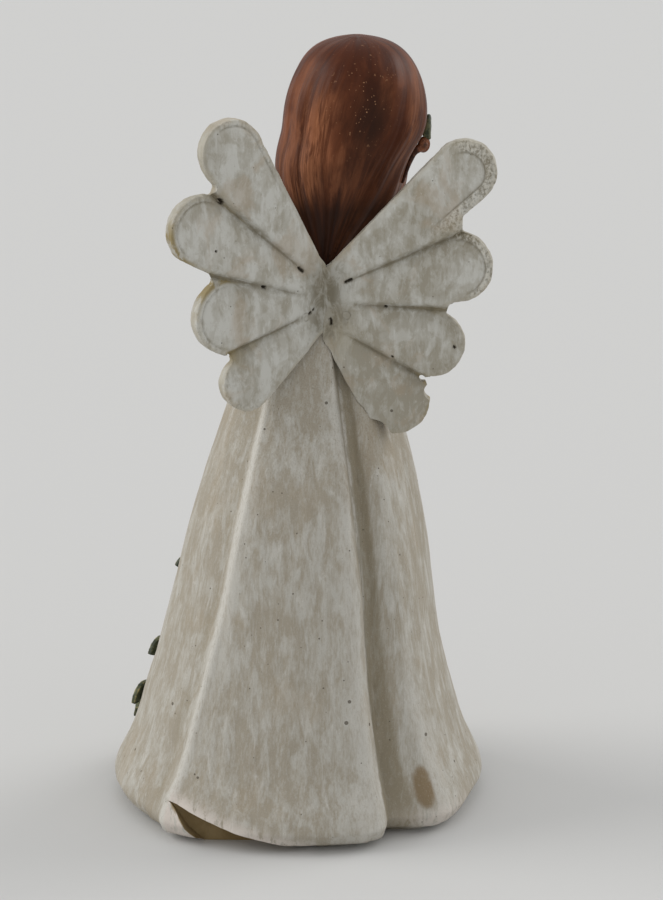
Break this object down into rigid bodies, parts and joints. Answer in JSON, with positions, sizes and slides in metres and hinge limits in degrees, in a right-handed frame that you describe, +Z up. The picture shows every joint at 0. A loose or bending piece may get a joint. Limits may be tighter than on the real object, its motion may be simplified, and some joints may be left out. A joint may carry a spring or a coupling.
{
  "type": "angel figurine",
  "caption": "Standing winged figure in a long flared gown, with a bowed tilted head, long smooth hair and hands together; a cast resin shelf ornament on a flat felted base.",
  "frame": {"origin": "middle of the base, on the plane the figurine stands on", "axes": "+Z up, +Y towards the figure's back and wings, so the face looks along -Y; +X is the figure's own left"},
  "size_m": [0.0983, 0.0983, 0.203],
  "materials": {
    "gown_paint": "cast resin, whitewash brushed over greige",
    "wing_paint": "cast resin, grey-white wash over a stippled surface",
    "hair_paint": "cast resin, glossy brown brushed with lighter streaks",
    "skin_paint": "cast resin, matte skin paint",
    "leaf_paint": "cast resin, dark green paint with worn pale edges",
    "bare_resin": "unpainted tan resin",
    "felt": "green felt",
    "pin_steel": "plain wire"
  },
  "bodies": {
    "root": {"gown": "gown_paint", "base_plug": "bare_resin", "felt_base": "felt", "head": "skin_paint", "neck_dowel": "pin_steel", "hair": "hair_paint", "side_curl": "hair_paint", "hair_leaf": "leaf_paint", "wing_left": "wing_paint", "wing_right": "wing_paint", "wing_dowel_left_upper": "pin_steel", "wing_dowel_left_lower": "pin_steel", "wing_dowel_right_upper": "pin_steel", "wing_dowel_right_lower": "pin_steel", "sleeve_left": "gown_paint", "sleeve_right": "gown_paint", "hand_left": "skin_paint", "hand_right": "skin_paint", "garland_upper": "leaf_paint", "garland_middle": "leaf_paint", "garland_lower": "leaf_paint"}
  },
  "joints": []
}
